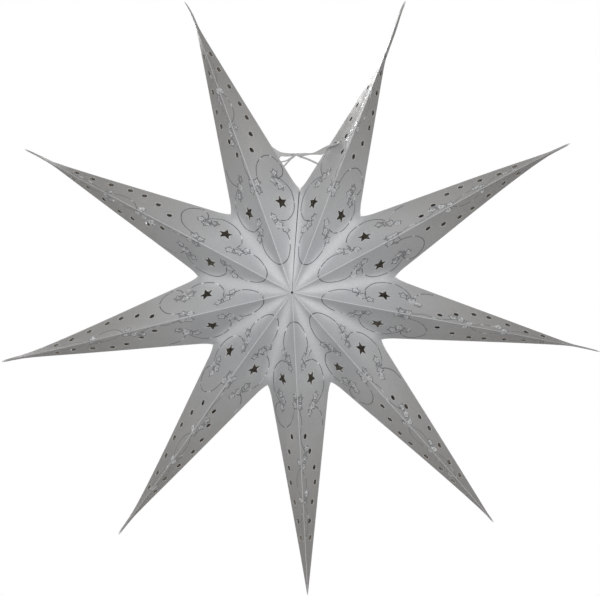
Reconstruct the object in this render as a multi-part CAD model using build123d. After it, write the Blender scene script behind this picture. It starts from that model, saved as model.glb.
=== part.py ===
from build123d import *
import os
from math import cos, radians, sin

# Folding paper star lantern: a nine-point star shade of thin card that folds flat like a fan.
# Frame: +Z up, the star stands in the XZ plane and its front faces -Y.
# The origin is the middle of the tie that closes the star above its top notch.
# Points are numbered clockwise from the closure, as seen from the front. The left half of a
# point is the left one when that point is turned to the top.

# The star
POINT_COUNT = 9
TIP_RADIUS = 305.0
NOTCH_RADIUS = 97.0
HALF_DEPTH = 70.0
CARD = 0.4

# Clearances at the creases, each measured from the crease to one panel
CREASE_CLEARANCE = 0.05
CLOSURE_CLEARANCE = 0.4
BACK_RIDGE_CLEARANCE = 0.9
BACK_VALLEY_CLEARANCE = 0.3
BACK_VALLEY_TAPER = 3.2

# Cut-off corners of a panel
CENTRE_CORNER = 3.0
TIP_CORNER = 2.0
NOTCH_CORNER = 1.2

# Star-shaped cut-out of each panel, placed as seen from the front. Those of the back panels
# stand nearer the centre, so that the front ones look into the dark and not through the star
STAR_RADIUS = 87.0
STAR_ANGLE_LEFT = 9.5
STAR_ANGLE_RIGHT = 11.0
BACK_STAR_RADIUS = 60.0
BACK_STAR_ANGLE = 8.5
STAR_OUTER = 8.0
STAR_INNER = 3.6
STAR_SPIKES = 5

# Row of punched round holes, from the cut-out toward the tip. A share is the distance from the
# ridge in parts of the half width. The back row starts further out, its shares are the rest of 1
HOLE_DIAMETER = 5.5
HOLE_FIRST_LEFT = 144.0
HOLE_FIRST_RIGHT = 141.0
BACK_HOLE_SHIFT = 8.0
HOLE_PITCH = 15.5
HOLE_SHARES = (0.36, 0.52, 0.6, 0.62, 0.58, 0.52, 0.5)

# Glue flap behind each glued valley seam
FLAP_WIDTH = 9.0
FLAP_START = 52.0
FLAP_END_MARGIN = 8.0

# Tie across the top notch
TIE_HEIGHT = 137.0
RIBBON_WIDTH = 5.0
RIBBON_THICKNESS = 0.8
STRING_DIAMETER = 1.8
STRING_DROP = 10.5
KNOT_LENGTH = 14.0
KNOT_HEIGHT = 5.0
KNOT_DEPTH = 4.0
KNOT_FILLET = 1.2
TIE_CLEARANCE = 0.5

# Derived from the sizes above
PITCH_ANGLE = 360.0 / POINT_COUNT
HALF_ANGLE = PITCH_ANGLE / 2
TOP_ANGLE = 90.0
CENTRE = Vector(0, 0, -TIE_HEIGHT)
FRONT_CENTRE = Vector(0, -HALF_DEPTH, 0)
TIP = Vector(TIP_RADIUS, 0, 0)
NOTCH_X = NOTCH_RADIUS * cos(radians(HALF_ANGLE))
NOTCH_Z = NOTCH_RADIUS * sin(radians(HALF_ANGLE))
NOTCH = Vector(NOTCH_X, 0, NOTCH_Z)


def panel_plane():
    """Outer face of the front left panel of a point whose ridge runs along +X from the axis.
    Its origin is the front centre, its x runs out along the ridge and its z into the star."""
    ridge = TIP - FRONT_CENTRE
    inward = ridge.cross(NOTCH - FRONT_CENTRE)
    inward = inward if inward.Y > 0 else inward * -1
    return Plane(origin=FRONT_CENTRE, x_dir=ridge, z_dir=inward)


OUTER = panel_plane()
INWARD = OUTER.z_dir


def on_panel(x, z):
    """Point of the panel's outer plane that is seen from the front at (x, z)."""
    y = FRONT_CENTRE.Y - (INWARD.X * x + INWARD.Z * z) / INWARD.Y
    return Vector(x, y, z)


def keep_side(body, point, normal):
    """The part of a body on the side of a plane that its normal points to."""
    return body.split(Plane(origin=point, z_dir=normal), keep=Keep.TOP)


def valley_plane(clearance, taper):
    """Point and normal of the cut beside a valley, which widens by taper from notch to centre."""
    across = Vector(sin(radians(HALF_ANGLE)), 0, -cos(radians(HALF_ANGLE)))
    near = NOTCH + across * clearance
    far = across * (clearance + taper)
    line = near - far
    normal = Vector(0, 1, 0).cross(line)
    normal = normal if normal.dot(across) > 0 else normal * -1
    return near, normal


def blank(ridge_clearance, valley_clearance, valley_taper):
    """A front left panel without holes, mitred at its three creases."""
    length = TIP_RADIUS + HALF_DEPTH
    body = OUTER * Pos(length / 2, 0, CARD / 2) * Box(2 * length, 2 * length, CARD)
    near, normal = valley_plane(valley_clearance, valley_taper)
    body = keep_side(body, (0, 0, ridge_clearance), (0, 0, 1))
    body = keep_side(body, near, normal)
    body = keep_side(body, (0, -CREASE_CLEARANCE, 0), (0, -1, 0))
    body = keep_side(body, (CENTRE_CORNER, 0, 0), (1, 0, 0))
    body = keep_side(body, (TIP_RADIUS - TIP_CORNER, 0, 0), (-1, 0, 0))
    into = (FRONT_CENTRE - NOTCH).normalized() + (TIP - NOTCH).normalized()
    return keep_side(body, NOTCH + into.normalized() * NOTCH_CORNER, into)


def half_width(radius):
    """Distance from the ridge to the side crease, seen from the front, at a radius on the ridge."""
    return NOTCH_Z * (TIP_RADIUS - radius) / (TIP_RADIUS - NOTCH_X)


def cut_out(radius, angle):
    """Star-shaped punch through a panel."""
    place = on_panel(radius * cos(radians(angle)), radius * sin(radians(angle)))
    turn = 180.0 / STAR_SPIKES
    corners = []
    for i in range(2 * STAR_SPIKES):
        reach = STAR_INNER if i % 2 else STAR_OUTER
        corners.append((reach * cos(radians(turn * i)), reach * sin(radians(turn * i))))
    plane = Plane(origin=place, x_dir=OUTER.x_dir, z_dir=INWARD)
    return extrude(plane * make_face(Polyline(*corners, close=True)), 2 * CARD, both=True)


def punches(first, shares):
    """Row of round punches through a panel."""
    made = []
    for i, share in enumerate(shares):
        radius = first + HOLE_PITCH * i
        place = on_panel(radius, share * half_width(radius))
        made.append(Plane(origin=place, z_dir=INWARD) * Cylinder(HOLE_DIAMETER / 2, 4 * CARD))
    return made


def flap():
    """Glue flap on the inner face of a front left panel, along its valley."""
    plane = OUTER.offset(CARD)
    length = NOTCH_RADIUS + HALF_DEPTH
    body = plane * Pos(length / 2, 0, CARD / 2) * Box(2 * length, 2 * length, CARD)
    along = (NOTCH - FRONT_CENTRE).normalized()
    across = INWARD.cross(along)
    across = across if across.Z < 0 else across * -1
    edge, normal = valley_plane(BACK_VALLEY_CLEARANCE, BACK_VALLEY_TAPER)
    body = keep_side(body, edge, normal)
    body = keep_side(body, NOTCH + across * FLAP_WIDTH, across * -1)
    body = keep_side(body, FRONT_CENTRE + along * FLAP_START, along)
    return keep_side(body, NOTCH - along * FLAP_END_MARGIN, along * -1)


def panel(side, face, open_edge):
    """One of a point's four panels, with the ridge still along +X."""
    ridge = CREASE_CLEARANCE if face == "front" else BACK_RIDGE_CLEARANCE
    valley = CREASE_CLEARANCE if face == "front" else BACK_VALLEY_CLEARANCE
    taper = 0.0 if face == "front" else BACK_VALLEY_TAPER
    body = blank(ridge, CLOSURE_CLEARANCE if open_edge else valley, taper)
    first = HOLE_FIRST_LEFT if side == "left" else HOLE_FIRST_RIGHT
    shares = HOLE_SHARES
    star = (STAR_RADIUS, STAR_ANGLE_LEFT if side == "left" else STAR_ANGLE_RIGHT)
    if face == "back":
        first = first + BACK_HOLE_SHIFT
        shares = [1 - share for share in HOLE_SHARES]
        star = (BACK_STAR_RADIUS, BACK_STAR_ANGLE)
    body -= cut_out(*star)
    for punch in punches(first, shares):
        body -= punch
    return body


def placed(body, side, face, azimuth):
    """A front left shape turned into the side, face and point where it belongs."""
    if side == "right":
        body = mirror(body, about=Plane.XY)
    if face == "back":
        body = mirror(body, about=Plane.XZ)
    return Pos(CENTRE) * Rot(0, -azimuth, 0) * body


def azimuth_of(number):
    """Direction of a point's ridge, in degrees from +X toward +Z."""
    return TOP_ANGLE - HALF_ANGLE - PITCH_ANGLE * (number - 1)


def crease_x(height):
    """How far the side creases beside the closure stand from the middle, above the centre."""
    tip_x = TIP_RADIUS * cos(radians(TOP_ANGLE - HALF_ANGLE))
    tip_z = TIP_RADIUS * sin(radians(TOP_ANGLE - HALF_ANGLE))
    return tip_x * (height - NOTCH_RADIUS) / (tip_z - NOTCH_RADIUS)


def short_of_crease(body, height):
    """A strand cut off just short of the right side crease beside the closure, at a height."""
    tip_x = TIP_RADIUS * cos(radians(TOP_ANGLE - HALF_ANGLE))
    tip_z = TIP_RADIUS * sin(radians(TOP_ANGLE - HALF_ANGLE))
    away = Vector(NOTCH_RADIUS - tip_z, 0, tip_x).normalized()
    at_crease = Vector(crease_x(height), 0, height - TIE_HEIGHT)
    return keep_side(body, at_crease + away * TIE_CLEARANCE, away)


def knot():
    """Middle of the tie, where its strands cross."""
    body = Box(KNOT_LENGTH, KNOT_DEPTH, KNOT_HEIGHT)
    return fillet(body.edges().filter_by(Axis.X), KNOT_FILLET)


def ribbon():
    """Upper right strand, a flat ribbon from the knot to the side crease."""
    reach = crease_x(TIE_HEIGHT)
    band = Pos(reach, 0, 0) * Box(2 * reach, RIBBON_THICKNESS, RIBBON_WIDTH)
    band = keep_side(band, (KNOT_LENGTH / 2, 0, 0), (1, 0, 0))
    return short_of_crease(band, TIE_HEIGHT)


def string():
    """Lower right strand, a thin string from under the knot to the side crease."""
    start = Vector(KNOT_LENGTH / 2, 0, -KNOT_HEIGHT / 2 - STRING_DIAMETER / 2 - TIE_CLEARANCE)
    height = TIE_HEIGHT - STRING_DROP
    run = Vector(crease_x(height), 0, -STRING_DROP) - start
    slope = Plane(origin=start, z_dir=run)
    rod = slope * Pos(0, 0, run.length / 2) * Cylinder(STRING_DIAMETER / 2, 2 * run.length)
    return keep_side(short_of_crease(rod, height), start, run)


def build():
    """Every node of the lantern by name."""
    nodes = {}
    for number in range(1, POINT_COUNT + 1):
        azimuth = azimuth_of(number)
        for face in ("front", "back"):
            for side in ("left", "right"):
                first = number == 1 and side == "left"
                last = number == POINT_COUNT and side == "right"
                body = panel(side, face, first or last)
                nodes[f"point_{number}_{face}_{side}"] = placed(body, side, face, azimuth)
            if number > 1:
                name = f"glue_flap_{number - 1}_{number}_{face}"
                nodes[name] = placed(flap(), "left", face, azimuth)
    nodes["tie_knot"] = knot()
    nodes["tie_ribbon_right"] = ribbon()
    nodes["tie_ribbon_left"] = mirror(ribbon(), about=Plane.YZ)
    nodes["tie_string_right"] = string()
    nodes["tie_string_left"] = mirror(string(), about=Plane.YZ)
    return nodes


os.makedirs("parts", exist_ok=True)
for name, body in build().items():
    body.label = name
    export_step(body, f"parts/{name}.step")
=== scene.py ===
from math import cos, pi, radians, sin

import bpy
import numpy as np
from mathutils import Matrix, Vector
from mathutils.geometry import delaunay_2d_cdt


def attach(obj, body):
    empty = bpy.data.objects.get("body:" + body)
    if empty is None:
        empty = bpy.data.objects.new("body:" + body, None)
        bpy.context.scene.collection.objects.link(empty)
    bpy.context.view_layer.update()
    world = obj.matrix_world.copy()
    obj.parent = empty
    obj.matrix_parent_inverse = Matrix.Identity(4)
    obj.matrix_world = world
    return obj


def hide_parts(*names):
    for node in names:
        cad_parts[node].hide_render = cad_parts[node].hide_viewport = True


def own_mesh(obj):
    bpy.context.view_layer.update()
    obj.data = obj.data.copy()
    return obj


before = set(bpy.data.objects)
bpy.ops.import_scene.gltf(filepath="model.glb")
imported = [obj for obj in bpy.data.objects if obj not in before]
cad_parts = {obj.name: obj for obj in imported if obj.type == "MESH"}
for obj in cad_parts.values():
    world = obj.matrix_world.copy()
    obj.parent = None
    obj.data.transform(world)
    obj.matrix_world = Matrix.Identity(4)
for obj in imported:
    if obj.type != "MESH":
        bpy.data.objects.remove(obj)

bl_info = {
    "name": "Paper star lantern",
    "version": (1, 0, 0),
    "blender": (4, 5, 0),
    "location": "View3D > Sidebar > Star lantern",
    "description": "Dresses the solids of a folding paper star lantern in printed card, foil and cotton",
    "category": "Object",
}

# Shapes are worked out in millimetres, in a star frame whose origin is the star's middle:
# x to the right, y to the back and z up. put_mesh turns them into metres of the shared frame.
MM = 0.001
POINTS = 9
PITCH = 360.0 / POINTS
FACES = ("front", "back")
SIDES = ("left", "right")

# Hand folding leaves each point a little off its ideal place: how far each tip and each notch has
# moved, across and up, in millimetres. Points run clockwise from the closure at the top.
TIP_SHIFT = (
    (5.4, -0.6), (6.5, -10.8), (-3.2, -9.5), (-5.3, 3.8), (5.9, 3.5),
    (13.0, -6.2), (2.0, -12.5), (-7.0, -5.6), (-1.8, 4.1),
)
NOTCH_SHIFT = (
    (3.9, 3.6), (0.6, -1.4), (0.2, -3.6), (-2.5, 0.8), (-1.6, 2.5),
    (2.7, 0.2), (0.3, -2.2), (-2.2, -0.4), (-2.1, 2.6),
)
# How each point is squeezed: the radius at which its sides would meet, the half width of the
# needle that runs on to the tip, its sideways bow, and the hook of its last 20 mm to the left
SQUEEZE = (
    (248, 2.3, -1.4, -1.5), (285, 2.1, 2.1, 0.3), (280, 1.6, 0.7, -0.5), (297, 2.1, 0.8, -0.2),
    (305, 1.4, 0.2, -0.1), (285, 2.3, 1.2, 0.4), (285, 2.4, 1.3, 0.8), (279, 1.6, 0.8, 0.9),
    (279, 1.2, 0.0, 2.7),
)

# Punches of a half point, placed by what is seen from in front of their face: the star by radius
# and degrees from the ridge, the round holes by radius and share of the width at that radius. The
# holes of the back lie farther out and on the other side of the width, so no light falls through.
STAR_PUNCH = {
    ("front", "left"): (87.0, 9.5), ("front", "right"): (87.0, 11.0),
    ("back", "left"): (60.0, 8.5), ("back", "right"): (60.0, 8.5),
}
STAR_REACH = (8.0, 3.6)
HOLE_RADII = (143.0, 158.5, 175.5, 190.5, 210.0, 229.0, 246.0)
HOLE_SHARES = {
    "left": (0.25, 0.44, 0.66, 0.74, 0.65, 0.5, 0.6),
    "right": (0.37, 0.58, 0.74, 0.76, 0.7, 0.6, 0.58),
}
HOLE_RADIUS = 2.75
BACK_HOLES = 8.0
# Distances from a panel's three folds at which rows of places divide the card more finely
RIDGE_ROWS = (0.2, 0.4, 0.65, 0.95, 1.4, 2.4)
CREASE_ROWS = (0.15, 0.3, 0.5, 0.9, 1.8)
VALLEY_ROWS = (0.3, 0.9, 1.8, 2.7, 3.6, 4.5, 5.6, 6.7, 7.8, 8.9, 10.2)
# The slit for the ribbon in the first point's left front panel, by its two ends on the flat card
RIBBON_SLIT = ((159.5, 21.8), (157.2, 37.0))

# The foil vine on a half point: millimetres along the ridge and away from it
ROOT = ((29.5, 0), (31, 5), (36, 13), (46, 19.5), (56, 22), (65, 20))
BOW = ((74, 19), (74, 29), (79, 38), (87, 43.5), (98, 46.5), (108, 46), (116, 41))
BACK_ROOT = ((29.5, 0), (31, 5), (36, 13), (44, 20.5), (53, 26), (64, 29.5), (74, 28.5))
BACK_BOW = ((84, 28), (85, 35), (90, 41.5), (98, 46), (107, 46.5), (114, 42.5), (120, 34))
LEFT_TWIGS = (
    ((122, 29), (127, 36), (135, 41.5), (146, 42.5)),
    ((121, 3), (132, 6), (143, 3), (153, 3.5), (162, 8)),
)
RIGHT_LOOP = ((116, 9), (126, 11), (136, 17), (143, 29), (141, 40), (131, 47), (122, 44), (118, 36))
VINE = {
    ("front", "left"): (
        ROOT,
        (*BOW, (121, 32)),
        *LEFT_TWIGS,
        ((183, 3), (192, 7.5), (202, 8), (210, 5)),
        ((221, 5), (231, 8), (243, 6), (254, 2)),
    ),
    ("front", "right"): (
        ROOT,
        (*BOW, (120, 34)),
        RIGHT_LOOP,
        ((178, 0.8), (185, 8), (194, 11), (204, 9), (211, 3)),
        ((221, 1), (232, 5), (244, 6), (256, 3)),
    ),
    ("back", "left"): (
        BACK_ROOT,
        BACK_BOW,
        *LEFT_TWIGS,
        ((183, 2), (192, 6), (202, 6), (210, 3.5)),
        ((224, 2.5), (232, 4.2), (243, 3.5), (254, 1.5)),
    ),
    ("back", "right"): (
        BACK_ROOT,
        BACK_BOW,
        RIGHT_LOOP,
        ((178, 0.8), (186, 5.5), (196, 6.2), (206, 4.5), (212, 1.5)),
        ((221, 1), (232, 4), (244, 4.2), (256, 2)),
    ),
}
# Outlined stars strewn along the vine: place, reach and turn. The middle ones of a side are the
# same on both faces.
LEFT_STARS = (
    (113, 32, 5.4, 15), (121, 26.5, 6.0, 40), (127, 21, 4.8, 5), (109, 5.5, 5.2, 20),
    (117, 4.5, 4.8, 60), (162, 11, 5.2, 30), (170, 8.5, 5.0, 0),
)
RIGHT_STARS = (
    (110, 36, 5.4, 20), (116, 31, 5.8, 55), (124, 34, 4.8, 0), (107, 5.2, 5.2, 50),
    (115, 7, 5.4, 15), (174, 4.5, 4.2, 10),
)
CLUSTERS = {
    ("front", "left"): (
        (64, 23, 5.4, 10), (70, 17, 6.0, 50), (78, 13.5, 5.0, 25), *LEFT_STARS,
        (178, 5, 4.4, 45), (208, 8, 4.4, 10), (215, 5, 4.2, 50),
    ),
    ("front", "right"): (
        (64, 22, 5.2, 40), (70, 15.5, 6.0, 5), (78, 12, 5.0, 60), *RIGHT_STARS, (213, 4, 3.8, 30),
    ),
    ("back", "left"): (
        (80, 24, 5.4, 10), (87, 18.5, 6.0, 50), (94, 14, 5.0, 25), *LEFT_STARS,
        (178, 4.6, 4.2, 45), (211, 3.2, 3.6, 10), (217, 3.6, 3.2, 50),
    ),
    ("back", "right"): (
        (80, 24, 5.2, 40), (87, 18.5, 6.0, 5), (94, 14, 5.0, 60), *RIGHT_STARS, (213, 3.2, 3.2, 30),
    ),
}


def length(name, description, default):
    """A size property, in metres."""
    return bpy.props.FloatProperty(
        name=name, description=description, default=default, precision=5, unit="LENGTH",
    )


class StarSizes(bpy.types.PropertyGroup):
    """Sizes of the lantern that its visual pieces are worked out from."""

    tip_radius: length("Tip radius", "From the middle to a tip", 0.305)
    notch_radius: length("Notch radius", "From the middle to a notch", 0.097)
    half_depth: length("Half depth", "From the middle to the front centre", 0.070)
    tie_height: length("Tie height", "From the middle up to the tie", 0.137)
    card: length("Card", "Thickness of the card", 0.0004)
    ridge_roll: length("Ridge roll", "Radius of the fold along a ridge", 0.0008)
    valley_roll: length("Valley roll", "Largest radius of the soft bend in a valley", 0.012)
    hollow: bpy.props.FloatProperty(
        name="Hollow", description="Share of its width by which a panel bows inward",
        default=0.018, precision=4,
    )
    waviness: length("Waviness", "How far the card stands off a smooth face", 0.0005)
    closure_gap: length("Closure gap", "Gap on each side of the closure at its notch", 0.0006)
    foil_width: length("Foil width", "Width of a foil line", 0.0012)


def colour(name, description, default):
    """A colour property, as an sRGB hex value."""
    return bpy.props.StringProperty(name=name, description=description, default=default)


class StarColours(bpy.types.PropertyGroup):
    """Colours of the lantern, as sRGB hex values."""

    card: colour("Card", "Silver-grey print of the card", "#B4B6B7")
    card_shade: colour("Card shade", "Darker drifts of the print", "#A9ABAE")
    # Warmer tone of the card toward the tips
    card_warm: colour("Warm print", "Warmer print toward the tips", "#B6B4B1")
    # Painted light: the paler tone laid along the valleys
    valley_light_tone: colour("Rubbed valley", "Card where the valleys are rubbed pale", "#C8CACB")
    # Worn print and painted highlight along the folds and punches
    worn_and_highlit: colour("Worn fold", "Card where a fold has broken the print", "#DCDDDE")
    inside: colour("Inside", "Bare inner face of the card", "#E8E2DA")
    core: colour("Core", "Cut edge of the card", "#D6D5D2")
    # Painted reflections of the foil: dark where it stands for the mirrored room, pale as painted glints
    foil: colour("Foil line", "Silver foil where it mirrors the dark", "#6C6E70")
    glint: colour("Foil glint", "Silver foil where it mirrors a lamp", "#D4D6D8")
    cotton: colour("Cotton", "Ribbon and string of the tie", "#B9B9B8")
    floor: colour("Floor", "Floor below the lantern", "#E9E9E8")


def sizes():
    """Every size by name: lengths in millimetres, and the hollow as a share."""
    group = bpy.context.scene.star_sizes
    made = {key: getattr(group, key) / MM for key in StarSizes.__annotations__}
    made["hollow"] = group.hollow
    return made


def linear(text):
    """Linear RGBA of an sRGB hex value."""
    parts = [int(text[i:i + 2], 16) / 255 for i in (1, 3, 5)]
    return (*[p / 12.92 if p <= 0.04045 else ((p + 0.055) / 1.055) ** 2.4 for p in parts], 1.0)


def unit(v):
    """Vector of length one, or an array of them."""
    v = np.asarray(v, float)
    return v / np.linalg.norm(v, axis=-1, keepdims=True)


def ease(x):
    """Smooth step from 0 to 1."""
    x = np.clip(x, 0.0, 1.0)
    return x * x * (3 - 2 * x)


def azimuth(number):
    """Direction of a point's ridge, in radians from +x toward +z."""
    return radians(90.0 - PITCH / 2 - PITCH * (number - 1))


class HalfPoint:
    """Left front panel of a point whose ridge runs along +x, z toward its side crease.
    u runs along the ridge from the front centre and v away from it, both on the flat card."""

    def __init__(self):
        s = sizes()
        half = radians(PITCH / 2)
        self.sizes = s
        self.front = np.array([0.0, -s["half_depth"], 0.0])
        self.tip = np.array([s["tip_radius"], 0.0, 0.0])
        self.notch = np.array([s["notch_radius"] * cos(half), 0.0, s["notch_radius"] * sin(half)])
        self.along = unit(self.tip - self.front)
        to_notch = self.notch - self.front
        self.across = unit(to_notch - (to_notch @ self.along) * self.along)
        self.outward = np.cross(self.along, self.across)
        self.length = float(np.linalg.norm(self.tip - self.front))
        self.notch_uv = np.array([to_notch @ self.along, to_notch @ self.across])
        self.valley_length = float(np.linalg.norm(to_notch))
        self.valley_uv = unit(self.notch_uv)
        self.into_uv = np.array([self.valley_uv[1], -self.valley_uv[0]])
        self.side_uv = unit(np.array([self.length, 0.0]) - self.notch_uv)
        self.off_side_uv = np.array([self.side_uv[1], -self.side_uv[0]])

    def uv_of(self, radius, sideways):
        """Flat place of what is seen from the front at a radius and a distance from the ridge."""
        normal = self.outward
        y = -self.sizes["half_depth"] - (normal[0] * radius + normal[2] * sideways) / normal[1]
        spot = np.array([radius, y, sideways]) - self.front
        return np.array([spot @ self.along, spot @ self.across])

    def valley_uv_at(self, s, q):
        """Flat place at a distance s along the valley and q into the panel from it."""
        down_valley = np.multiply.outer(np.asarray(s, float), self.valley_uv)
        return down_valley + np.multiply.outer(np.asarray(q, float), self.into_uv)

    def distances(self, uv):
        """Distance along the valley, and from the valley and the side crease, of flat places."""
        along = uv @ self.valley_uv
        off_valley = uv @ self.into_uv
        off_side = (uv - self.notch_uv) @ self.off_side_uv
        return along, off_valley, off_side

    def roll(self, distance, bisector, in_plane, radius):
        """How far a fold's arc departs from the flat panel: the panel and its mirror image meet in
        an arc of that radius, tangent to both, and flat distance is spread evenly along the arc."""
        sine = in_plane @ bisector
        rise = unit(in_plane - sine * bisector)
        cosine = in_plane @ rise
        tangent = np.maximum(radius * cosine / sine, 1e-6)
        turn = np.clip(distance / tangent, -1, 1) * (pi / 2 - np.arcsin(sine))
        arc = np.outer(radius * np.sin(turn), bisector)
        arc += np.outer(radius / sine - radius * np.cos(turn), rise)
        flat = np.outer(distance, in_plane)
        return np.where((distance < tangent)[:, None], arc - flat, 0.0)

    def surface(self, uv, phase):
        """Outer face: the flat panel, plus the arcs of its three folds, minus a hollow that is
        deepest a third of the way from the ridge to the valley or side crease, plus slow waves
        that die out toward the folds. phase sets the waves of one panel apart from the next."""
        s = self.sizes
        u, v = uv[:, 0], uv[:, 1]
        along, off_valley, off_side = self.distances(uv)
        spot = self.front + np.outer(u, self.along) + np.outer(v, self.across)
        # The valley's arc narrows toward the centre, and by half over 14 mm at the notch
        taper = 0.5 + 0.5 * ease((self.valley_length - along) / 14.0)
        valley_radius = np.minimum(s["valley_roll"], 0.26 * np.maximum(along, 0.4)) * taper
        tip_fade = ease((self.length - u) / 30.0)
        ridge_radius = s["ridge_roll"] * tip_fade * ease(u / 12.0) + 0.02
        side_radius = 0.6 * s["ridge_roll"] * tip_fade + 0.02
        in_valley = self.across * self.into_uv[1] + self.along * self.into_uv[0]
        in_side = self.across * self.off_side_uv[1] + self.along * self.off_side_uv[0]
        half = radians(PITCH / 2)
        bisector = np.array([sin(half), 0.0, -cos(half)])
        valley_shift = self.roll(off_valley, bisector, in_valley, valley_radius)
        valley_shift[:, 1] *= ease(off_side / 5.0)
        spot = spot + valley_shift
        spot = spot + self.roll(v, np.array([0.0, 0.0, 1.0]), self.across, ridge_radius)
        spot = spot + self.roll(off_side, np.array([0.0, -1.0, 0.0]), in_side, side_radius)
        # The waves grow from nothing over 16 to 22 mm from a fold
        room = ease(v / 18.0) * ease(off_valley / 22.0) * ease(off_side / 16.0)
        wave = 0.9 * np.sin(u / 27.0 + phase) * np.cos(v / 13.0 + 0.7 * phase)
        wave += 0.5 * np.sin(u / 13.0 - v / 17.0 + 2.1 * phase)
        valley_side = np.maximum(off_valley, 0.0) + 1e-6
        crease_side = np.maximum(off_side, 0.0) + 1e-6
        far = valley_side * crease_side / (valley_side + crease_side)
        width = np.maximum(v, 0.0) + far
        t = np.maximum(v, 0.0) / width
        hollow = 6.75 * s["hollow"] * width * t * (1 - t) ** 2 * tip_fade
        return spot + np.outer(s["waviness"] * room * wave - hollow, self.outward)

    def lifted(self, uv, phase, lift):
        """The outer face moved along its own normal, which comes from two small steps."""
        step = 0.05
        here = self.surface(uv, phase)
        by_u, by_v = (self.surface(uv + step * lead, phase) - here for lead in np.eye(2))
        normal = unit(np.cross(by_u, by_v))
        return here + normal * np.reshape(lift, (-1, 1))

    def squeezed(self, spot, number):
        """From the notches outward a point's width falls in a line to nothing at its meeting
        radius, joined by the root of squares to the width of its needle. Its depth grows so that
        the card keeps its own width."""
        meeting, needle, _, _ = SQUEEZE[number - 1]
        beyond = spot[:, 0] - self.notch[0]
        share = np.clip(beyond / (self.tip[0] - self.notch[0]), 0, 1)
        ideal = self.notch[2] * (1 - share)
        line = self.notch[2] * np.maximum(1 - beyond / (meeting - self.notch[0]), 0)
        line *= 1 - 0.03 * np.clip(beyond / 12.0, 0, 1)
        needle = needle * share * (1 - 0.55 * ease((spot[:, 0] - self.tip[0] + 36.0) / 36.0))
        wanted = np.where(beyond > 0, np.hypot(line, needle), ideal)
        narrower = np.where(beyond > 0, wanted / np.maximum(ideal, 0.35), 1.0)
        depth = np.maximum(self.sizes["half_depth"] * (1 - spot[:, 0] / self.tip[0]), 1e-3)
        deeper = np.sqrt(np.maximum(ideal ** 2 + depth ** 2 - wanted ** 2, 1e-9)) / depth
        deeper = np.where(beyond > 0, np.clip(deeper, 0.6, 2.0), 1.0)
        return np.stack([spot[:, 0], spot[:, 1] * deeper, spot[:, 2] * narrower], 1)

    def placed(self, spot, number, face, side):
        """A shape of the left front panel turned into its face, side and point: squeezed, bowed
        sideways, then shifted as that point's tip and notches are, linearly in between, so that
        flat panels stay flat."""
        turn = azimuth(number)
        sign = 1.0 if side == "left" else -1.0
        tip = np.array([self.tip[0], 0.0])
        notch = np.array([self.notch[0], sign * self.notch[2]])
        raw = np.stack([spot[:, 0], sign * spot[:, 2]], 1)
        shares = raw @ np.linalg.inv(np.stack([tip, notch], 0))
        beside = number - 1 if side == "left" else number % POINTS
        moved = shares @ np.array([TIP_SHIFT[number - 1], NOTCH_SHIFT[beside]])
        spot = self.squeezed(spot, number)
        _, _, bow, hook = SQUEEZE[number - 1]
        radius = spot[:, 0]
        share = np.clip((radius - self.notch[0]) / (self.tip[0] - self.notch[0]), 0, 1)
        aside = 6.75 * bow * share ** 2 * (1 - share)
        aside += hook * np.clip((radius - self.tip[0] + 20.0) / 20.0, 0, 1.1) ** 2
        aside += sign * spot[:, 2]
        x = cos(turn) * radius - sin(turn) * aside
        z = sin(turn) * radius + cos(turn) * aside
        y = spot[:, 1] if face == "front" else -spot[:, 1]
        return np.stack([x + moved[:, 0], y, z + moved[:, 1]], 1)

    def plane(self, number, face, side, depth):
        """Outward normal of a panel's solid, and the middle of its face moved in by a depth, in
        metres of the shared frame."""
        turn = azimuth(number)
        sign = 1.0 if side == "left" else -1.0
        a, b, c = self.outward[0], self.outward[1], sign * self.outward[2]
        y = b if face == "front" else -b
        normal = np.array([cos(turn) * a - sin(turn) * c, y, sin(turn) * a + cos(turn) * c])
        face_y = self.front[1] if face == "front" else -self.front[1]
        middle = np.array([0.0, face_y, -self.sizes["tie_height"]])
        return tuple(normal), tuple((middle - depth * normal) * MM)


def put_mesh(name, spots, polygons, attributes=(), slots=None):
    """New mesh object from star-frame millimetres. attributes are (name, values) by vertex."""
    height = sizes()["tie_height"]
    mesh = bpy.data.meshes.new(name)
    verts = (np.asarray(spots) - np.array([0.0, 0.0, height])) * MM
    mesh.from_pydata(verts.tolist(), [], [list(map(int, p)) for p in polygons])
    mesh.polygons.foreach_set("use_smooth", np.ones(len(mesh.polygons), bool))
    for key, values in attributes:
        made = mesh.attributes.new(key, "FLOAT", "POINT")
        made.data.foreach_set("value", np.asarray(values, np.float32))
    if slots is not None:
        mesh.polygons.foreach_set("material_index", np.asarray(slots, np.int32))
    mesh.update()
    mesh.set_sharp_from_angle(angle=radians(40))
    made = bpy.data.objects.new(name, mesh)
    bpy.context.scene.collection.objects.link(made)
    return made


def inside(points, loops):
    """Which points lie in an outline and in none of its holes, by counting crossings."""
    inner = np.zeros(len(points), bool)
    for loop in loops:
        a, b = loop, np.roll(loop, -1, 0)
        x, y = points[:, :1], points[:, 1:]
        spans = (a[:, 1] > y) != (b[:, 1] > y)
        slope = (b[:, 0] - a[:, 0]) / np.where(b[:, 1] == a[:, 1], 1e-12, b[:, 1] - a[:, 1])
        inner ^= (spans & (x < a[:, 0] + (y - a[:, 1]) * slope)).sum(1) % 2 == 1
    return inner


def stepped(corners, spacing):
    """A closed outline with points at most a spacing apart on its straight runs."""
    made = []
    for a, b in zip(corners, np.roll(corners, -1, 0)):
        count = max(1, int(np.ceil(np.linalg.norm(b - a) / spacing)))
        made.append(a + np.outer(np.arange(count) / count, b - a))
    return np.concatenate(made)


def nearest(places, others):
    """How far each place is from the nearest of the others."""
    return np.min(np.linalg.norm(places[:, None] - others[None], axis=2), axis=1)


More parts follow.
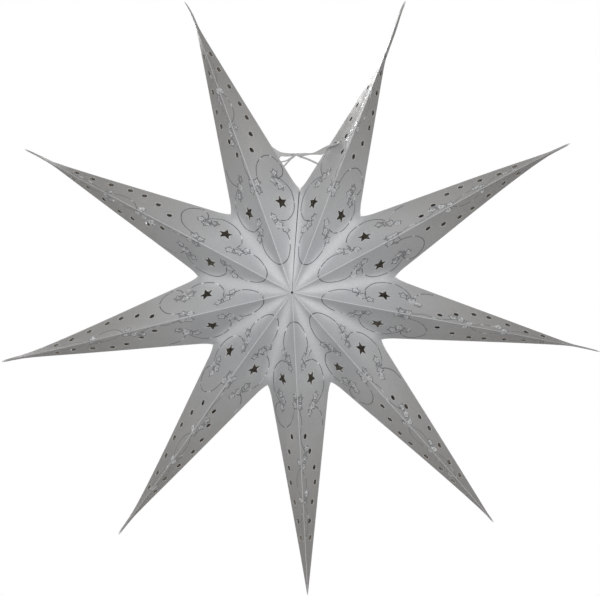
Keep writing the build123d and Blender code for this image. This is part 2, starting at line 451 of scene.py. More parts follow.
def star_outline(centre, reach, waist, turn, spacing):
    """Closed outline of a five-pointed star, its corners at its reach and its waist in turn."""
    i = np.arange(10)
    angle = i * pi / 5 + radians(turn)
    out = np.where(i % 2, waist, reach)
    return stepped(centre + np.stack([out * np.cos(angle), out * np.sin(angle)], 1), spacing)


def punches(half, face, side, open_edge):
    """Outlines of a panel's cut-outs on the flat card: a star, seven round holes and the slit."""
    radius, angle = STAR_PUNCH[face, side]
    centre = half.uv_of(radius * cos(radians(angle)), radius * sin(radians(angle)))
    made = [star_outline(centre, *STAR_REACH, 0.0, 1.4)]
    turn = np.arange(20) * pi / 10
    for far, share in zip(HOLE_RADII, HOLE_SHARES[side]):
        far, share = (far, share) if face == "front" else (far + BACK_HOLES, 1 - share)
        width = half.notch[2] * (half.tip[0] - far) / (half.tip[0] - half.notch[0])
        centre = half.uv_of(far, share * width)
        made.append(centre + HOLE_RADIUS * np.stack([np.cos(turn), np.sin(turn)], 1))
    if (face, side, open_edge) == ("front", "left", True):
        a, b = np.array(RIBBON_SLIT)
        over = unit(b - a)[::-1] * np.array([-1.0, 1.0])
        ends = [a, 0.9 * a + 0.1 * b + over, 0.1 * a + 0.9 * b + over]
        ends += [b, 0.1 * a + 0.9 * b - over, 0.9 * a + 0.1 * b - over]
        made.append(stepped(np.array(ends), 2.0))
    return made


def cut_pattern(half, face, side, open_edge):
    """Flat places and triangles of one panel: the card as it is punched, before it is folded, and
    how far each place is from the nearest punch."""
    length, valley = half.length, half.valley_length
    side_slope = (half.side_uv @ half.valley_uv) / (half.side_uv @ half.into_uv)
    gap = half.sizes["closure_gap"] if open_edge else 0.0
    blunt = 1.0
    corners = [
        np.array([1.2, 0.0]),
        np.array([length - blunt, 0.0]),
        np.array([length - blunt, -blunt * half.side_uv[1] / half.side_uv[0]]),
        half.valley_uv_at(valley + side_slope * gap, gap),
        half.valley_uv_at(1.6, 0.35 * gap),
    ]
    outline = stepped(np.array(corners), 3.0)
    holes = punches(half, face, side, open_edge)
    loops = [outline, *holes]
    u, v = np.meshgrid(np.arange(4, length, 4.5), np.arange(4.0, 60, 4.0), indexing="ij")
    u = u + 2.25 * (np.arange(u.shape[1]) % 2)
    fields = [np.stack([u.ravel(), v.ravel()], 1)]
    middle, crease = np.zeros(2), np.linalg.norm(half.notch_uv - [length, 0])
    rows = (
        (middle, *np.eye(2), 3, length - 3, RIDGE_ROWS),
        (half.notch_uv, half.side_uv, half.off_side_uv, 4, crease - 8, CREASE_ROWS),
        (middle, half.valley_uv, half.into_uv, 5, valley, VALLEY_ROWS),
    )
    for start, lead, over, first, last, offsets in rows:
        run = np.outer(np.arange(first, last, 3.0), lead)
        fields += [start + run + off * over for off in offsets]
    field = np.concatenate(fields)
    rim = np.concatenate(holes)
    rings = [hole + off * unit(hole - hole.mean(0)) for hole in holes for off in (0.6, 1.3)]
    field = np.concatenate([field[nearest(field, rim) > 1.7], *rings])
    field = field[inside(field, loops)]
    edge = np.concatenate(loops)
    _, off_valley, off_side = half.distances(field)
    field = field[(nearest(field, edge) > 0.12) & (off_side > 0.1) & (off_valley > 0.1)]
    points = [Vector(p) for p in np.concatenate([edge, field])]
    edges, start = [], 0
    for loop in loops:
        count = len(loop)
        edges += [(start + i, start + (i + 1) % count) for i in range(count)]
        start += count
    verts, _, faces, *_ = delaunay_2d_cdt(points, edges, [], 0, 1e-5)
    uv = np.array([tuple(p) for p in verts])
    faces = np.array([list(f) for f in faces])
    faces = faces[inside(uv[faces].mean(1), loops)]
    a, b, c = uv[faces[:, 0]], uv[faces[:, 1]], uv[faces[:, 2]]
    area = (b[:, 0] - a[:, 0]) * (c[:, 1] - a[:, 1]) - (b[:, 1] - a[:, 1]) * (c[:, 0] - a[:, 0])
    faces = np.where((area < 0)[:, None], faces[:, ::-1], faces)
    faces = faces[np.abs(area) > 1e-7]
    used = np.unique(faces)
    index = np.full(len(uv), -1)
    index[used] = np.arange(len(used))
    return uv[used], index[faces], nearest(uv[used], rim)


def shell(outer, inner, triangles, flip):
    """Closed sheet from its outer and inner faces: the inner one turned round, and a wall along
    every edge that only one triangle uses. Returns places, polygons and 0, 1 or 2 for each
    polygon, as it is of the outer face, the inner face or a wall."""
    count = len(outer)
    tri = triangles[:, ::-1] if flip else triangles
    edges = np.concatenate([tri[:, [0, 1]], tri[:, [1, 2]], tri[:, [2, 0]]])
    key = np.sort(edges, 1)
    _, first, times = np.unique(key, axis=0, return_index=True, return_counts=True)
    rim = edges[first[times == 1]]
    walls = np.stack([rim[:, 1], rim[:, 0], rim[:, 0] + count, rim[:, 1] + count], 1)
    polygons = [*tri, *(tri[:, ::-1] + count), *walls]
    slots = np.concatenate([np.zeros(len(tri)), np.ones(len(tri)), np.full(len(walls), 2)])
    return np.concatenate([outer, inner]), polygons, slots


def grid(rows, columns):
    """Triangles over a grid of places that run along its columns first."""
    a = (np.arange(rows - 1)[:, None] * columns + np.arange(columns - 1)).ravel()
    first = np.stack([a, a + columns, a + columns + 1], 1)
    return np.concatenate([first, np.stack([a, a + columns + 1, a + 1], 1)])


# Sockets that are found by number: those of Map Range, and those of Mix and its mixed colour
VALUE, LOW, HIGH, TO_LOW, TO_HIGH = range(5)
FACTOR, FIRST, SECOND, MIXED = 0, 6, 7, 2


def add_node(tree, kind, settings=None, links=None):
    """Adds a node. settings are its properties or its sockets' values, a colour as a hex value.
    links are its sockets' sources, each a socket or a node: a Mix, which here always mixes
    colours, gives its mixed colour, and any other node its first output."""
    made = tree.nodes.new("ShaderNode" + kind)
    if kind == "Mix":
        made.data_type = "RGBA"
    for key, value in (settings or {}).items():
        if isinstance(key, str) and hasattr(made, key):
            setattr(made, key, value)
        else:
            made.inputs[key].default_value = linear(value) if isinstance(value, str) else value
    for key, source in (links or {}).items():
        if isinstance(source, bpy.types.Node):
            source = source.outputs[MIXED if source.type == "MIX" else 0]
        tree.links.new(source, made.inputs[key])
    return made


def new_material(name, coordinates="Object"):
    """An empty material, its node tree and the coordinates that its patterns follow."""
    material = bpy.data.materials.new(name)
    material.use_nodes = True
    tree = material.node_tree
    tree.nodes.clear()
    return material, tree, add_node(tree, "TexCoord").outputs[coordinates]


def end_material(tree, settings, links):
    """Ends a material's nodes with its shader and output."""
    shader = add_node(tree, "BsdfPrincipled", settings, links)
    add_node(tree, "OutputMaterial", links={"Surface": shader})


def patches(tree, place, millimetres, detail, low, high, to_low=0.0, to_high=1.0):
    """Patches that many millimetres across: noise, stretched from one range to another."""
    settings = {"Scale": 1000.0 / millimetres, "Detail": detail}
    made = add_node(tree, "TexNoise", settings, {"Vector": place})
    stretch = {LOW: low, HIGH: high, TO_LOW: to_low, TO_HIGH: to_high}
    return add_node(tree, "MapRange", stretch, {VALUE: made})


def relief(tree, place, millimetres, detail, strength):
    """Fine relief that many millimetres across, at most 0.2 mm deep."""
    settings = {"Scale": 1000.0 / millimetres, "Detail": detail}
    made = add_node(tree, "TexNoise", settings, {"Vector": place})
    return add_node(tree, "Bump", {"Strength": strength, "Distance": 0.0002}, {"Height": made})


def printed_card():
    """300 g card printed silver-grey: matt, with faint drifts of ink, short fibres that break up
    the light, painted light along the valleys, and pale broken print with a painted highlight along
    the folds and punches. The card grows darker and warmer toward the tips."""
    ink = bpy.context.scene.star_colours
    material, tree, place = new_material("printed_card_matt")
    reach, valley_light_mask, wear_and_highlight = (
        add_node(tree, "Attribute", {"attribute_name": name}).outputs["Fac"]
        for name in ("reach", "valley_light_mask", "wear_and_highlight")
    )
    drift = patches(tree, place, 60.0, 3.0, 0.35, 0.65)
    base = add_node(tree, "Mix", {FIRST: ink.card, SECOND: ink.card_shade}, {FACTOR: drift})
    # Warmer toward the tips
    warmer = add_node(tree, "MapRange", {LOW: 0.2, HIGH: 0.7}, {VALUE: reach})
    # Painted light along the valleys
    paler = add_node(tree, "Math", {"operation": "MULTIPLY", 1: 0.6}, {0: valley_light_mask})
    for factor, tone in ((warmer, ink.card_warm), (paler, ink.valley_light_tone)):
        base = add_node(tree, "Mix", {SECOND: tone}, {FACTOR: factor, FIRST: base})
    fibre = patches(tree, place, 1.6, 2.0, 0.3, 0.7, 0.93, 1.04)
    # Darker toward the tips, down to 0.58 of the tone at the tips
    fall = {"interpolation_type": "SMOOTHSTEP", LOW: 0.15, HIGH: 0.85, TO_LOW: 1.0, TO_HIGH: 0.58}
    darker_to_tips = add_node(tree, "MapRange", fall, {VALUE: reach})
    depth = add_node(tree, "Math", {"operation": "MULTIPLY"}, {0: fibre, 1: darker_to_tips})
    toned = add_node(tree, "VectorMath", {"operation": "SCALE"}, {0: base, "Scale": depth})
    # Worn print with a painted highlight along the folds and punches
    broken = patches(tree, place, 3.0, 3.0, 0.3, 0.6, 0.55, 1.0)
    broken = add_node(tree, "Math", {"operation": "MULTIPLY"}, {0: wear_and_highlight, 1: broken})
    base = add_node(tree, "Mix", {SECOND: ink.worn_and_highlit}, {FACTOR: broken, FIRST: toned})
    grain = relief(tree, place, 1.1, 3.0, 0.25)
    rough = patches(tree, place, 9.0, 2.0, 0.3, 0.7, 0.52, 0.64)
    end_material(tree, {"IOR": 1.45}, {"Base Color": base, "Normal": grain, "Roughness": rough})
    return material


def unprinted(name, millimetres, detail, roughness, first, second):
    """Unprinted board: dull, in two close tones that its fibres mix."""
    material, tree, place = new_material(name)
    fibres = patches(tree, place, millimetres, detail, 0.3, 0.7)
    base = add_node(tree, "Mix", {FIRST: first, SECOND: second}, {FACTOR: fibres})
    end_material(tree, {"Roughness": roughness}, {"Base Color": base})
    return material


def cut_edge():
    """Cut edge of the card: the pale, unprinted core, a little fuzzy."""
    core = bpy.context.scene.star_colours.core
    return unprinted("cut_card_edge", 0.8, 2.0, 0.9, core, "#C4C3C0")


def bare_board():
    """Unprinted inner face of the card: warm grey, dull, with coarse fibres."""
    board = bpy.context.scene.star_colours.inside
    return unprinted("bare_board_inner_face", 4.0, 4.0, 0.85, board, "#DAD3C9")


def silver_foil(name, share):
    """Hot-stamped silver foil: a thin bead painted dark as a reflection of the dark room in long
    stretches, with painted glints in patches. share is how much of it is painted as glints."""
    ink = bpy.context.scene.star_colours
    material, tree, place = new_material(name)
    painted_glints = patches(tree, place, 7.0, 3.0, 0.56 - 0.25 * share, 0.64 - 0.25 * share)
    base = add_node(tree, "Mix", {FIRST: ink.foil, SECOND: ink.glint}, {FACTOR: painted_glints})
    rough = add_node(tree, "MapRange", {TO_LOW: 0.5, TO_HIGH: 0.4}, {VALUE: painted_glints})
    dents = relief(tree, place, 1.5, 2.0, 0.3)
    end_material(tree, {"Metallic": 0.6}, {"Base Color": base, "Roughness": rough, "Normal": dents})
    return material


def cotton(name):
    """Bleached cotton tape and string: soft, with the slant of its twist, 0.8 mm from thread to
    thread. The UV map is in millimetres."""
    ink = bpy.context.scene.star_colours
    material, tree, place = new_material(name, "UV")
    settings = {"Scale": 0.8, "Distortion": 0.6, "bands_direction": "DIAGONAL"}
    twist = add_node(tree, "TexWave", settings, {"Vector": place}).outputs["Fac"]
    base = add_node(tree, "Mix", {FIRST: "#A2A2A1", SECOND: ink.cotton}, {FACTOR: twist})
    thread = add_node(tree, "Bump", {"Strength": 0.6, "Distance": 0.0003}, {"Height": twist})
    settings = {"Roughness": 0.8, "Sheen Weight": 0.3}
    end_material(tree, settings, {"Base Color": base, "Normal": thread})
    return material


def material_of(name):
    """A material by name, made the first time it is asked for."""
    makers = {
        "printed_card_matt": printed_card,
        "bare_board_inner_face": bare_board,
        "cut_card_edge": cut_edge,
        # The stars' inner outlines carry more painted glints than the vine lines
        "silver_foil_line": lambda: silver_foil("silver_foil_line", 0.0),
        "silver_foil_star": lambda: silver_foil("silver_foil_star", 0.6),
        "cotton_tape": lambda: cotton("cotton_tape"),
    }
    return bpy.data.materials.get(name) or makers[name]()


def dress(piece, slot, *materials):
    """Gives a piece its materials; slot is not used."""
    for name in materials:
        piece.data.materials.append(material_of(name))


def phase_of(number, face, side):
    """Where one panel's waves start, so that no two panels are alike."""
    return 1.7 * number + (0.9 if side == "left" else 2.3) + (0.0 if face == "front" else 4.1)


def fold_flat(piece, half, number, face, side, depth):
    """Works out the plane of a panel's solid, moved in by a depth, and gives the piece its own copy
    of its mesh."""
    axis, anchor = half.plane(number, face, side, depth)
    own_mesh(piece)


def each_panel():
    """Number, face and side of the 36 panels."""
    return [(number, face, side) for number in range(1, POINTS + 1) for face in FACES for side in SIDES]


def build_panels():
    """The 36 card panels: each punched flat pattern, folded by HalfPoint.surface."""
    half = HalfPoint()
    card = half.sizes["card"]
    patterns = {}
    for number, face, side in each_panel():
        open_edge = (number, side) in ((1, "left"), (POINTS, "right"))
        key = (face, side, open_edge)
        if key not in patterns:
            patterns[key] = cut_pattern(half, *key)
        uv, triangles, off_rim = patterns[key]
        phase = phase_of(number, face, side)
        outer = half.placed(half.surface(uv, phase), number, face, side)
        inner = half.placed(half.lifted(uv, phase, -card), number, face, side)
        spots, polygons, slots = shell(outer, inner, triangles, (side == "right") != (face == "back"))
        _, off_valley, off_side = half.distances(uv)
        # Worn, with a painted highlight, within about half a millimetre of the ridge, the side crease and
        # the punches
        wear_and_highlight = 0.6 * np.exp(-((uv[:, 1] / 0.55) ** 2)) + 0.5 * np.exp(-((off_side / 0.5) ** 2))
        wear_and_highlight = np.clip(wear_and_highlight + 0.45 * np.exp(-((off_rim / 0.55) ** 2)), 0, 1)
        # Painted light: paler within about 8 mm of the valleys, fading in over the first 20 mm from the
        # centre
        valley_light_mask = np.exp(-((off_valley / 8.0) ** 2)) * ease(uv[:, 0] / 20.0)
        stored = [("wear_and_highlight", wear_and_highlight), ("valley_light_mask", valley_light_mask), ("reach", uv[:, 0] / half.length)]
        node = f"point_{number}_{face}_{side}"
        both_faces = [(name, np.tile(values, 2)) for name, values in stored]
        piece = put_mesh(f"card_{node}", spots, polygons, both_faces, slots)
        dress(piece, "printed_card", "printed_card_matt", "bare_board_inner_face", "cut_card_edge")
        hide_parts(node)
        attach(piece, node)
        fold_flat(piece, half, number, face, side, card)


def build_flaps():
    """The glue flaps behind the valleys: strips of card on the inner face of a left panel."""
    half = HalfPoint()
    rows, columns = 24, 7
    along = np.linspace(52.0, half.valley_length - 9.0, rows)
    s, q = np.meshgrid(along, np.linspace(0.3, 9.0, columns), indexing="ij")
    uv = half.valley_uv_at(s.ravel(), q.ravel())
    card = half.sizes["card"]
    for number in range(2, POINTS + 1):
        for face in FACES:
            phase = phase_of(number, face, "left")
            outer, inner = (
                half.placed(half.lifted(uv, phase, -lift * card), number, face, "left")
                for lift in (1.25, 2.25)
            )
            spots, polygons, _ = shell(outer, inner, grid(rows, columns), face == "back")
            name = f"glue_flap_{number - 1}_{number}_{face}"
            piece = put_mesh(f"card_{name}", spots, polygons)
            dress(piece, "printed_card", "bare_board_inner_face")
            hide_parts(name)
            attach(piece, f"point_{number}_{face}_left")
            fold_flat(piece, half, number, face, "left", 1.75 * card)


def smooth_path(points, spacing):
    """A curve through points, each stretch a cubic whose ends lean as the neighbours do."""
    p = np.asarray(points, float)
    p = np.concatenate([2 * p[:1] - p[1:2], p, 2 * p[-1:] - p[-2:-1]])
    made = []
    for i in range(1, len(p) - 2):
        count = max(2, int(np.linalg.norm(p[i + 1] - p[i]) / spacing))
        t = (np.arange(count) / count)[:, None]
        line = 2 * p[i] + (p[i + 1] - p[i - 1]) * t
        square = (2 * p[i - 1] - 5 * p[i] + 4 * p[i + 1] - p[i + 2]) * t ** 2
        cube = (3 * p[i] - p[i - 1] - 3 * p[i + 1] + p[i + 2]) * t ** 3
        made.append(0.5 * (line + square + cube))
    return np.concatenate([*made, p[-2:-1]])


def run_length(path):
    """Distance along a path at each of its places."""
    return np.concatenate([[0.0], np.cumsum(np.linalg.norm(np.diff(path, axis=0), axis=1))])


def evened(path, count):
    """A path's places spread evenly along it."""
    run = run_length(path)
    at = np.linspace(0, run[-1], count)
    return np.stack([np.interp(at, run, path[:, i]) for i in range(path.shape[1])], 1)


def bead(path, width, closed):
    """Flat places and heights of a raised line: three rows beside each other along a path."""
    if closed:
        lead = np.roll(path, -1, 0) - np.roll(path, 1, 0)
    else:
        lead = np.gradient(path, axis=0)
    over = unit(lead)[:, ::-1] * np.array([-1.0, 1.0])
    rows = [path + side * width / 2 * over for side in (-1, 0, 1)]
    count = len(path)
    uv = np.concatenate(rows)
    lift = np.repeat([-0.01, 0.11, -0.01], count)
    a = np.arange(count if closed else count - 1)
    b = (a + 1) % count
    quads = [np.stack([a + row, b + row, b + row + count, a + row + count], 1) for row in (0, count)]
    return uv, lift, np.concatenate(quads)


def stamp(face, side, width):
    """The whole ornament of one half point on the flat card: vine lines, and for each star a dark
    outline round a smaller one with more painted glints. Returns places, lifts, quads and each quad's slot."""
    parts = [(*bead(smooth_path(curve, 1.4), width, False), 0) for curve in VINE[face, side]]
    for u, v, reach, turn in CLUSTERS[face, side]:
        for kind, (size, wide) in enumerate(((reach, 0.8), (0.6 * reach, 0.7))):
            outline = star_outline(np.array([u, v]), size, 0.56 * size, turn, 1.6)
            parts.append((*bead(outline, wide * width, True), kind))
    starts = np.cumsum([0] + [len(part[0]) for part in parts[:-1]])
    uv = np.concatenate([part[0] for part in parts])
    uv[:, 1] = np.maximum(uv[:, 1], 0.0)
    lift = np.concatenate([part[1] for part in parts])
    quads = np.concatenate([part[2] + start for part, start in zip(parts, starts)])
    return uv, lift, quads, np.concatenate([np.full(len(part[2]), part[3]) for part in parts])


def build_foil():
    """The stamped foil ornament: raised lines along curves on the flat card, folded with it."""
    half = HalfPoint()
    prints = {(face, side): stamp(face, side, half.sizes["foil_width"]) for face in FACES for side in SIDES}
    for number, face, side in each_panel():
        uv, lift, quads, kinds = prints[face, side]
        spots = half.placed(half.lifted(uv, phase_of(number, face, side), lift), number, face, side)
        quads = quads[:, ::-1] if (side == "right") != (face == "back") else quads
        node = f"point_{number}_{face}_{side}"
        piece = put_mesh(f"foil_{node}", spots, quads, slots=kinds)
        dress(piece, "printed_card", "silver_foil_line", "silver_foil_star")
        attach(piece, node)
        fold_flat(piece, half, number, face, side, half.sizes["card"])


def put_uv(piece, uv):
    """A UV map from one place in millimetres for each vertex."""
    layer = piece.data.uv_layers.new(name="UVMap")
    corner = np.zeros(len(piece.data.loops), np.int32)
    piece.data.loops.foreach_get("vertex_index", corner)
    layer.data.foreach_set("uv", uv[corner].astype(np.float32).ravel())


def tube(points, width, spacing=0.4, around=14):
    """A round strand swept along a smooth path, with its two ends closed: places, polygons and
    the distance along and round it."""
    path = smooth_path(points, spacing)
    count = len(path)
    lead = unit(np.gradient(path, axis=0))
    rise = unit(np.cross(np.array([0.0, 1.0, 0.0]), lead))
    over = np.cross(lead, rise)
    angle = np.linspace(0, 2 * pi, around, endpoint=False)
    ring = np.cos(angle)[None, :, None] * rise[:, None] + np.sin(angle)[None, :, None] * over[:, None]
    spots = np.concatenate([(path[:, None] + width / 2 * ring).reshape(-1, 3), path[:1], path[-1:]])
    i, j = np.meshgrid(np.arange(count - 1) * around, np.arange(around), indexing="ij")
    k = (j + 1) % around
    quads = np.stack([i + j, i + k, i + around + k, i + around + j], -1).reshape(-1, 4)
    first, last, top = count * around, count * around + 1, (count - 1) * around
    j, k = j[0], k[0]
    start = np.stack([np.full(around, first), k, j], 1)
    end = np.stack([np.full(around, last), top + j, top + k], 1)
    run = np.concatenate([np.repeat(run_length(path), around), [0.0, 0.0]])
    turn = np.concatenate([np.tile(angle * width / 2, count), [0.0, 0.0]])
    return spots, [*quads, *start, *end], np.stack([run, turn], 1)


def ribbon(upper, lower, thickness=0.35, rows=90, columns=9):
    """A flat ribbon between two smooth edges: straight across from one to the other, crowned by a
    sine, and closed by shell. Places, polygons and the distance along and across it."""
    top, bottom = (evened(smooth_path(edge, 0.5), rows) for edge in (upper, lower))
    t = np.linspace(0, 1, columns)
    lead = unit(np.gradient((top + bottom) / 2, axis=0))
    face = unit(np.cross(top - bottom, lead))
    face = np.where(face[:, 1:2] > 0, -face, face)
    middle = top[:, None] * (1 - t)[None, :, None] + bottom[:, None] * t[None, :, None]
    middle = middle + (0.35 * np.sin(pi * t))[None, :, None] * face[:, None]
    lift = thickness / 2 * np.broadcast_to(face[:, None], middle.shape)
    outer, inner = (middle + lift).reshape(-1, 3), (middle - lift).reshape(-1, 3)
    made = grid(rows, columns)
    a, b, c = outer[made[columns, 0]], outer[made[columns, 1]], outer[made[columns, 2]]
    flip = float(np.cross(b - a, c - a) @ face[0]) < 0
    spots, polygons, _ = shell(outer, inner, made, flip)
    run = np.repeat(run_length((top + bottom) / 2), columns)
    wide = np.outer(np.linalg.norm(top - bottom, axis=1), t).ravel()
    return spots, polygons, np.tile(np.stack([run, wide], 1), (2, 1))


def tie_piece(node, body, strands):
    """One piece of the tie, made of strands that are worked out from the tie's middle."""
    starts = np.cumsum([0] + [len(strand[0]) for strand in strands[:-1]])
    spots = np.concatenate([strand[0] for strand in strands])
    polygons = [np.asarray(p) + start for strand, start in zip(strands, starts) for p in strand[1]]
    piece = put_mesh(f"cotton_{node}", spots + np.array([0.0, 0.0, sizes()["tie_height"]]), polygons)
    put_uv(piece, np.concatenate([strand[2] for strand in strands]))
    dress(piece, "cotton_tie", "cotton_tape")
    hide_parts(node)
    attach(piece, body)


def build_tie():
    """The tie above the top notch: a ribbon that leaves the right point through a slit in its card
    and one that leaves the left point at its side crease, each gathered to a strand, the knot
    where they cross, and the strings below. Paths are in millimetres from the tie's middle."""
    half = HalfPoint()
    right_body, left_body = "point_1_front_left", f"point_{POINTS}_front_right"

    def on_card(*places):
        """Places on the right point's left face, given flat and by height over the card."""
        flat = np.array([place[:2] for place in places])
        lift = np.array([place[2] for place in places])
        made = half.placed(half.lifted(flat, phase_of(1, "front", "left"), lift), 1, "front", "left")
        return [tuple(spot) for spot in made - np.array([0.0, 0.0, half.sizes["tie_height"]])]

    upper = [*on_card((159.2, 35, -3.0), (156.4, 36, 0.2)), (31.4, -0.5, 6.6), (23.4, 0, 2.7)]
    upper += [(16.4, 0, -0.1), (8.5, 0, 0.0), (2.5, -0.3, -0.4)]
    lower = [*on_card((161, 23.5, -3.0), (158.2, 24, 0.3), (154.5, 28, 1.6), (151.5, 38, 2.4))]
    lower += [(27.2, -2.2, -1.8), (20.3, 0, -1.8), (14.4, 0, -1.9), (8.4, 0, -2.9), (2.5, -0.3, -3.0)]
    tie_piece("tie_ribbon_right", right_body, [ribbon(upper, lower)])
    upper = [(-34, 1.2, 12), (-29, 0.9, 10), (-25.6, 0.6, 8.6), (-20.2, 0.2, 4.7), (-15.1, 0, 1.6)]
    upper += [(-9.4, 0, 0.4), (-1.5, 0.3, -0.3)]
    lower = [(-29, 1.2, 3), (-24, 1.0, -0.6), (-16.2, 0.6, -4.5), (-14.4, 0.2, -2.9), (-9.4, 0, -3.2)]
    lower += [(-1.5, 0.3, -2.9)]
    tie_piece("tie_ribbon_left", left_body, [ribbon(upper, lower)])
    upper = ((-17, 1.2, -9.4), (-13.8, 0.8, -8.3), (-9, 0.4, -7.2), (-4.1, 0.5, -4.3), (-1.0, 0.5, -3.0))
    tie_piece("tie_string_left", left_body, [
        tube(upper, 1.4),
        tube(((-15.5, 0.2, -16.0), (-11.5, 0, -12.5), (-4.5, -0.4, -5.5), (-1.5, -0.4, -3.4)), 1.6),
    ])
    tie_piece("tie_string_right", right_body, [
        tube(((25, 0.4, -12.4), (21.6, 0.3, -10.7), (12.9, 0.1, -6.5), (5.3, 0, -3.6)), 1.9),
    ])
    wrap = ((-4.4, 0, -1.2), (-2, -1.0, -0.9), (1.5, -1.6, -1.9), (4.5, -1.0, -2.7), (7.6, 0, -2.4))
    tie_piece("tie_knot", right_body, [
        tube(((-3, 0.3, -1.5), (0, 0.5, -1.3), (3, 0.4, -2.3), (6, 0.1, -4.0)), 2.2),
        tube(((4, -0.4, -1.6), (1.5, -0.9, -1.2), (-1.5, -0.7, -2.6), (-3.5, -0.4, -4.6)), 2.2),
        tube(wrap, 1.7),
    ])


def lamp(name, place, target, power):
    """A square soft lamp that looks at a target."""
    data = bpy.data.lights.new(name, "AREA")
    data.energy, data.size = power, LAMP_SIZE
    made = bpy.data.objects.new(name, data)
    made.location = place
    made.rotation_euler = (target - place).to_track_quat("-Z", "Y").to_euler()
    made.visible_camera = False
    bpy.context.scene.collection.objects.link(made)


# Lamps: place from the star's middle in metres, and watts
LAMPS = {
    "front_lamp": ((0.0, -1.2, 0.05), 7.5),
    "high_right_lamp": ((0.5, -1.2, 0.6), 6.3),
    "high_left_lamp": ((-0.45, -1.2, 0.6), 1.5),
    "left_lamp": ((-1.3, -0.9, 0.4), 2.6),
    "right_lamp": ((1.3, -0.9, 0.3), 1.4),
    "back_lamp": ((-0.5, 1.4, 0.6), 22.0),
}
LAMP_SIZE = 0.7
# Floor: metres below the origin, its radius, and the corners of its rim
FLOOR_DROP, FLOOR_REACH, FLOOR_CORNERS = 0.62, 2.6, 96
# Camera: degrees to the right, up and of roll, metres away from its target, the target's place
# from the star's middle, and the focal length in pixels of a photograph that many pixels wide
TURN, RISE, ROLL, DISTANCE = 4.171, 0.659, -0.807, 2.0
TARGET = (0.00248, 0.0, -0.00618)
FOCAL, PHOTO_WIDTH = 2022.2, 600
SENSOR = 36.0


def build_floor():
    """Pale round floor that keeps the lantern's shadow and fades out toward its rim."""
    ring = np.linspace(0, 2 * pi, FLOOR_CORNERS, endpoint=False)
    height = np.full(FLOOR_CORNERS, -FLOOR_DROP)
    rim = np.stack([FLOOR_REACH * np.cos(ring), FLOOR_REACH * np.sin(ring), height], 1) / MM
    floor = put_mesh("floor", rim, [np.arange(FLOOR_CORNERS)])
    material, tree, place = new_material("pale_floor")
    drift = patches(tree, place, 400.0, 2.0, 0.3, 0.7)
    pale = bpy.context.scene.star_colours.floor
    base = add_node(tree, "Mix", {FIRST: pale, SECOND: "#EFEFEE"}, {FACTOR: drift})
    shader = add_node(tree, "BsdfPrincipled", {"Roughness": 0.9}, {"Base Color": base})
    level = {"operation": "MULTIPLY", 1: (1.0, 1.0, 0.0)}
    far = add_node(tree, "VectorMath", level, {0: place})
    far = add_node(tree, "VectorMath", {"operation": "LENGTH"}, {0: far}).outputs["Value"]
    fade = {LOW: 0.55, HIGH: 1.05, TO_LOW: 0.45, TO_HIGH: 1.0}
    fade = add_node(tree, "MapRange", fade, {VALUE: far})
    clear = add_node(tree, "BsdfTransparent")
    mixed = add_node(tree, "MixShader", links={0: fade, 1: shader, 2: clear})
    add_node(tree, "OutputMaterial", links={"Surface": mixed})
    floor.data.materials.append(material)


def build_world():
    """White to the camera and in reflections, and a faint even light on the lantern."""
    world = bpy.data.worlds.new("white_room")
    bpy.context.scene.world = world
    world.use_nodes = True
    tree = world.node_tree
    tree.nodes.clear()
    path = add_node(tree, "LightPath")
    seen = path.outputs["Is Camera Ray"]
    for name in ("Is Glossy Ray", "Is Transmission Ray"):
        seen = add_node(tree, "Math", {"operation": "MAXIMUM"}, {0: seen, 1: path.outputs[name]})
    strength = add_node(tree, "MapRange", {TO_LOW: 0.17, TO_HIGH: 1.0}, {VALUE: seen})
    white = add_node(tree, "Background", {"Color": (1, 1, 1, 1)}, {"Strength": strength})
    add_node(tree, "OutputWorld", links={"Surface": white})


def build_camera(centre):
    """The camera at the photograph's angle."""
    turn, rise, tilt = radians(TURN), radians(RISE), radians(ROLL)
    target = centre + Vector(TARGET)
    back = Vector((sin(turn) * cos(rise), -cos(turn) * cos(rise), sin(rise)))
    right = (-back).cross(Vector((0, 0, 1))).normalized()
    up = right.cross(-back)
    right, up = right * cos(tilt) + up * sin(tilt), up * cos(tilt) - right * sin(tilt)
    data = bpy.data.cameras.new("camera")
    data.sensor_width, data.lens = SENSOR, FOCAL / PHOTO_WIDTH * SENSOR
    camera = bpy.data.objects.new("camera", data)
    axes = Matrix((right, up, back)).transposed().to_4x4()
    camera.matrix_world = Matrix.Translation(target + back * DISTANCE) @ axes
    bpy.context.scene.collection.objects.link(camera)
    bpy.context.scene.camera = camera


def build_stage():
    """Pale floor, white surroundings, soft lamps and the camera."""
    scene = bpy.context.scene
    centre = Vector((0.0, 0.0, -scene.star_sizes.tie_height))
    build_floor()
    build_world()
    for name, (place, power) in LAMPS.items():
        lamp(name, centre + Vector(place), centre, power)
    build_camera(centre)
    scene.view_settings.view_transform = "Standard"


class STAR_OT_panels(bpy.types.Operator):
    """Make the folded card panels"""

    bl_idname = "star.panels"
    bl_label = "Card panels"

    def execute(self, context):
        build_panels()
        return {"FINISHED"}


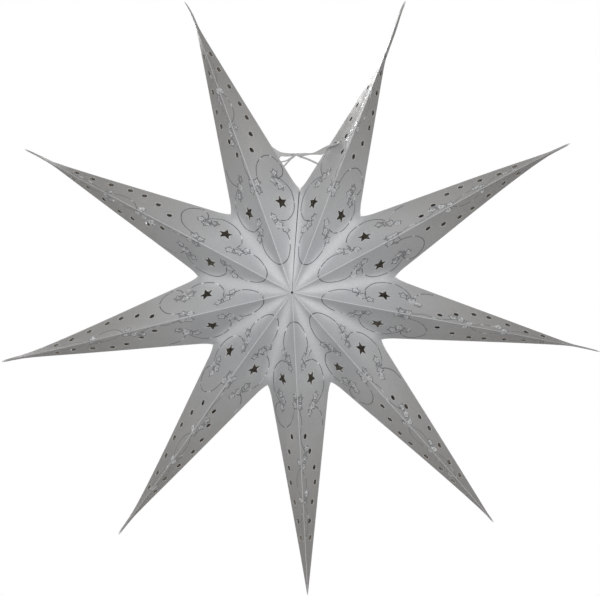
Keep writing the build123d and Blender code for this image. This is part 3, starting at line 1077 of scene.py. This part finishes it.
class STAR_OT_flaps(bpy.types.Operator):
    """Make the glue flaps inside the star"""

    bl_idname = "star.flaps"
    bl_label = "Glue flaps"

    def execute(self, context):
        build_flaps()
        return {"FINISHED"}


class STAR_OT_foil(bpy.types.Operator):
    """Stamp the foil ornament on every panel"""

    bl_idname = "star.foil"
    bl_label = "Foil ornament"

    def execute(self, context):
        build_foil()
        return {"FINISHED"}


class STAR_OT_tie(bpy.types.Operator):
    """Make the cotton tie above the top notch"""

    bl_idname = "star.tie"
    bl_label = "Tie"

    def execute(self, context):
        build_tie()
        return {"FINISHED"}


class STAR_OT_stage(bpy.types.Operator):
    """Make the floor, the lamps and the camera"""

    bl_idname = "star.stage"
    bl_label = "Stage"

    def execute(self, context):
        build_stage()
        return {"FINISHED"}


OPERATORS = (STAR_OT_panels, STAR_OT_flaps, STAR_OT_foil, STAR_OT_tie, STAR_OT_stage)


class STAR_PT_lantern(bpy.types.Panel):
    """Sizes, colours and steps of the lantern"""

    bl_idname = "STAR_PT_lantern"
    bl_label = "Star lantern"
    bl_space_type = "VIEW_3D"
    bl_region_type = "UI"
    bl_category = "Star lantern"

    def draw(self, context):
        for group in (context.scene.star_sizes, context.scene.star_colours):
            for key in type(group).__annotations__:
                self.layout.prop(group, key)
        for operator in OPERATORS:
            self.layout.operator(operator.bl_idname)


CLASSES = (StarSizes, StarColours, *OPERATORS, STAR_PT_lantern)


def register():
    for made in CLASSES:
        bpy.utils.register_class(made)
    bpy.types.Scene.star_sizes = bpy.props.PointerProperty(type=StarSizes)
    bpy.types.Scene.star_colours = bpy.props.PointerProperty(type=StarColours)


def unregister():
    del bpy.types.Scene.star_colours
    del bpy.types.Scene.star_sizes
    for made in reversed(CLASSES):
        bpy.utils.unregister_class(made)


def main():
    """Registers the add-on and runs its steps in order."""
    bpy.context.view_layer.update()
    register()
    bpy.ops.star.panels()
    bpy.ops.star.flaps()
    bpy.ops.star.foil()
    bpy.ops.star.tie()
    bpy.ops.star.stage()


if __name__ == "__main__":
    main()
